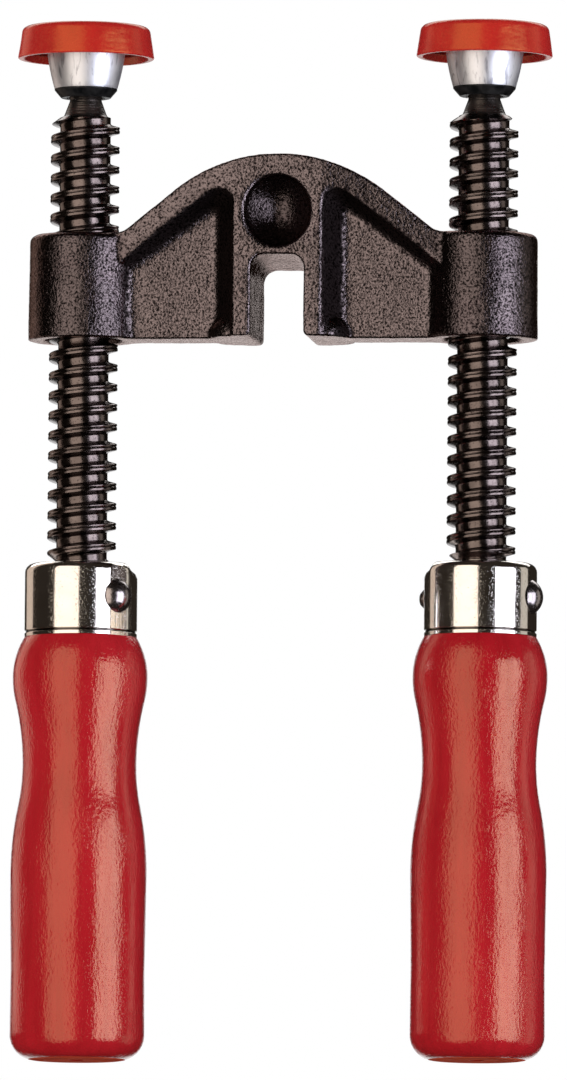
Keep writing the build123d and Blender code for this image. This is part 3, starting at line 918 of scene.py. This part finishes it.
def add_camera():
    data = bpy.data.cameras.new("camera")
    camera = link_object("camera", data)
    back = direction(CAMERA_AZIMUTH, CAMERA_ELEVATION)
    roll = Quaternion((0, 0, 1), radians(CAMERA_ROLL))
    camera.location = CAMERA_AIM + back * CAMERA_DISTANCE
    camera.rotation_mode = "QUATERNION"
    camera.rotation_quaternion = (-back).to_track_quat("-Z", "Y") @ roll
    data.sensor_width = 36
    data.lens = 663.9
    data.clip_start = 0.05
    data.clip_end = 60
    scene.camera = camera


def soft_box(name, azimuth, across, low, high, radiance, colour, distance=2.2, middle=CENTRE):
    """A lamp that fills azimuth +- across and elevations low to high, as seen from middle."""
    width = 2 * distance * tan(radians(across))
    bottom, top = distance * tan(radians(low)), distance * tan(radians(high))
    data = bpy.data.lights.new(name, "AREA")
    data.shape = "RECTANGLE"
    data.size, data.size_y = width, top - bottom
    data.energy = radiance * pi * width * (top - bottom)
    data.color = colour
    lamp = link_object(name, data)
    away = direction(azimuth, 0)
    lamp.location = middle + away * distance + Vector((0, 0, (bottom + top) / 2))
    lamp.rotation_mode = "QUATERNION"
    lamp.rotation_quaternion = (-away).to_track_quat("-Z", "Y")
    lamp.visible_camera = False
    return lamp


def add_lamps():
    """The studio's soft boxes, a card close to the left spindle, and a fill without reflections."""
    for box in SOFT_BOXES:
        soft_box(*box)
    left = CENTRE + Vector((-AXIS_X * MM, 0, 0))
    soft_box("card_left", -119, 15, -44, 58, 0.62, (1.0, 0.8, 0.66), 0.1, left)
    fill = soft_box("fill_left", -75, 25, -35, 35, 1.2, (1.0, 1.0, 1.0))
    fill.visible_glossy = False


def add_floor():
    """A pale floor that shows from above only, because the camera looks up from below it."""
    mesh = bpy.data.meshes.new("floor")
    corners = [(-1, -1), (1, -1), (1, 1), (-1, 1)]
    mesh.from_pydata(
        [(x * FLOOR_SIZE, y * FLOOR_SIZE, -FLOOR_DROP) for x, y in corners], [], [(0, 1, 2, 3)])
    floor = link_object("floor", mesh)
    material, nodes, links, output = empty_material("floor_paper")
    paper = nodes.new("ShaderNodeBsdfDiffuse")
    paper.inputs["Color"].default_value = (0.82, 0.82, 0.82, 1)
    clear = nodes.new("ShaderNodeBsdfTransparent")
    geometry = nodes.new("ShaderNodeNewGeometry")
    mixer = nodes.new("ShaderNodeMixShader")
    links.new(geometry.outputs["Backfacing"], mixer.inputs[0])
    links.new(paper.outputs[0], mixer.inputs[1])
    links.new(clear.outputs[0], mixer.inputs[2])
    links.new(mixer.outputs[0], output.inputs[0])
    mesh.materials.append(material)
    floor.visible_shadow = False
    floor.visible_glossy = False


def in_opening(point):
    """Whether a point of the cards lies in the opening behind the object."""
    level = Vector((point.x, point.y, 0))
    if level.length < 1e-6:
        return False
    facing = level.normalized().dot(direction(OPENING_AZIMUTH, 0))
    rise = point.z / CARDS_RADIUS
    inside = facing > cos(radians(OPENING_HALF_WIDTH))
    return inside and sin(radians(OPENING_LOW)) < rise < sin(radians(OPENING_HIGH))


def add_dark_cards():
    """Dark cards all round, open behind the object, that only reflections see."""
    shape = bmesh.new()
    bmesh.ops.create_uvsphere(shape, u_segments=72, v_segments=36, radius=CARDS_RADIUS)
    opening = [f for f in shape.faces if in_opening(f.calc_center_median())]
    bmesh.ops.delete(shape, geom=opening, context="FACES")
    mesh = bpy.data.meshes.new("dark_cards")
    shape.to_mesh(mesh)
    shape.free()
    cards = link_object("dark_cards", mesh)
    cards.location = CENTRE
    material, nodes, links, output = empty_material("card")
    glow = nodes.new("ShaderNodeEmission")
    glow.inputs["Color"].default_value = (1.0, 0.78, 0.6, 1)
    glow.inputs["Strength"].default_value = 0.022
    links.new(glow.outputs[0], output.inputs[0])
    mesh.materials.append(material)
    cards.visible_camera = False
    cards.visible_diffuse = False
    cards.visible_shadow = False
    cards.visible_transmission = False


def add_world():
    """White where the camera and reflections look past the cards, a plain dim grey as light."""
    world = bpy.data.worlds.new("studio")
    scene.world = world
    world.use_nodes = True
    nodes, links = world.node_tree.nodes, world.node_tree.links
    nodes.clear()
    output = nodes.new("ShaderNodeOutputWorld")
    path = nodes.new("ShaderNodeLightPath")
    seen = path.outputs["Is Camera Ray"]
    for ray in ("Is Glossy Ray", "Is Transmission Ray"):
        either = nodes.new("ShaderNodeMath")
        either.operation = "MAXIMUM"
        links.new(seen, either.inputs[0])
        links.new(path.outputs[ray], either.inputs[1])
        seen = either.outputs[0]
    mixer = nodes.new("ShaderNodeMixShader")
    links.new(seen, mixer.inputs[0])
    for socket, strength in ((1, WORLD_STRENGTH), (2, 1.0)):
        light = nodes.new("ShaderNodeBackground")
        light.inputs["Color"].default_value = (1, 1, 1, 1)
        light.inputs["Strength"].default_value = strength
        links.new(light.outputs[0], mixer.inputs[socket])
    links.new(mixer.outputs[0], output.inputs[0])


add_camera()
add_lamps()
add_floor()
add_dark_cards()
add_world()
